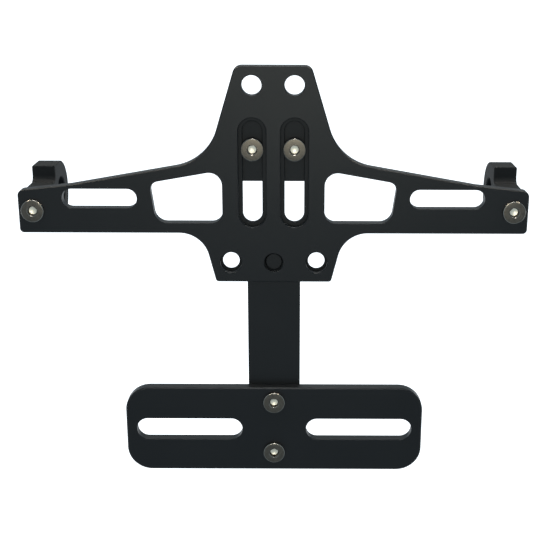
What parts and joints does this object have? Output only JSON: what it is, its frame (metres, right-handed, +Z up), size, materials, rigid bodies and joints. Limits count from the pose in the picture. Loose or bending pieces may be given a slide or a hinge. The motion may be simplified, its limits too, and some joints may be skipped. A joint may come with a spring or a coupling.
{
  "type": "tail tidy",
  "caption": "Flat winged plate with slotted arms, an indicator bracket behind each tip and a stem below that carries a slotted number plate panel.",
  "frame": {"origin": "midway between the top holes, on the main plate's back face", "axes": "+X to the right seen from behind the bike, +Y forwards into the bike's tail, +Z up"},
  "size_m": [0.235, 0.0538, 0.1987],
  "materials": {
    "black_anodised": "black satin anodised",
    "screw_steel": "bright stainless",
    "black_steel": "black oxide"
  },
  "bodies": {
    "root": {"main_plate": "black_anodised", "number_plate_panel": "black_anodised", "stem": "black_anodised", "nut_plate": "black_anodised", "indicator_bracket_left": "black_anodised", "indicator_bracket_right": "black_anodised", "button_screws": "screw_steel", "stem_screw": "black_steel"}
  },
  "joints": []
}
